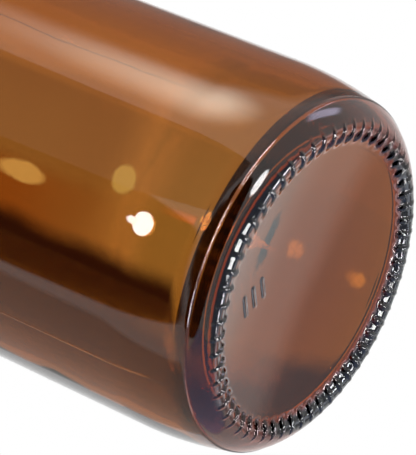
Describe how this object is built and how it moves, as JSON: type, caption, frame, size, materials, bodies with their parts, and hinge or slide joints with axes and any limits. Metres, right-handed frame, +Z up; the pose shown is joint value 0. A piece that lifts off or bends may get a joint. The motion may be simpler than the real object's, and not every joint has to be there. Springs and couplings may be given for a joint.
{
  "type": "boston round bottle",
  "caption": "Round-shouldered glass bottle with a straight cylindrical body, a short neck with an external screw thread and a knurled base, open at the mouth.",
  "frame": {"origin": "middle of the base, at the height that the ribs of the bearing ring stand on", "axes": "+Z up the bottle's axis to the mouth; +X and -X towards the two mould seams, within 2 degrees; +Y completes the right-handed frame"},
  "size_m": [0.075, 0.075, 0.1687],
  "materials": {
    "amber_glass": "clear amber-brown soda-lime glass, fire-polished, smooth and glossy inside and out"
  },
  "bodies": {
    "root": {"bottle": "amber_glass"}
  },
  "joints": []
}
